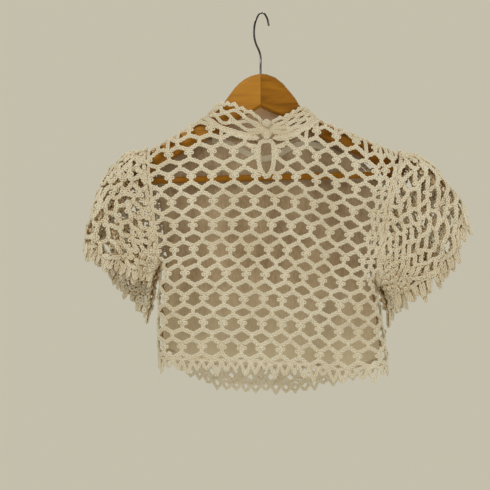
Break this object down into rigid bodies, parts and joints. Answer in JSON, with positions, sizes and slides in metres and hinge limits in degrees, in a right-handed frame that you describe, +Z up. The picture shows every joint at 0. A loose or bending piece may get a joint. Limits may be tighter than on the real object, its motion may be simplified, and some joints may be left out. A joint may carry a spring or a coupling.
{
  "type": "high neck crochet top on a wooden hanger",
  "caption": "Openwork crochet crop top with a high neck, a buttoned keyhole back and flutter sleeves, hanging on a flat wooden hanger with a wire hook.",
  "frame": {"origin": "underside of the crown of the hanger hook, where a rail carries it", "axes": "+X to the right as seen from behind the garment, +Y from its back to its front, +Z up"},
  "size_m": [0.5785, 0.0919, 0.5784],
  "materials": {
    "cream_net": "matte chunky cotton crochet",
    "nude_lining": "smooth fine knit",
    "honey_wood": "satin lacquer",
    "dark_steel": "polished dark chrome wire"
  },
  "bodies": {
    "root": {"back_panel": "cream_net", "front_panel": "cream_net", "front_lining": "nude_lining", "collar_back_left": "cream_net", "collar_back_right": "cream_net", "collar_front": "cream_net", "keyhole_edging": "cream_net", "button": "cream_net", "button_loop": "cream_net", "button_tab": "cream_net", "sleeve_left_back": "cream_net", "sleeve_left_front": "cream_net", "sleeve_right_back": "cream_net", "sleeve_right_front": "cream_net", "cuff_left_back": "cream_net", "cuff_left_front": "cream_net", "cuff_right_back": "cream_net", "cuff_right_front": "cream_net", "hem_back": "cream_net", "hem_front": "cream_net", "hanger_board_left": "honey_wood", "hanger_board_right": "honey_wood", "hanger_bar": "honey_wood", "hanger_hook": "dark_steel"}
  },
  "joints": []
}
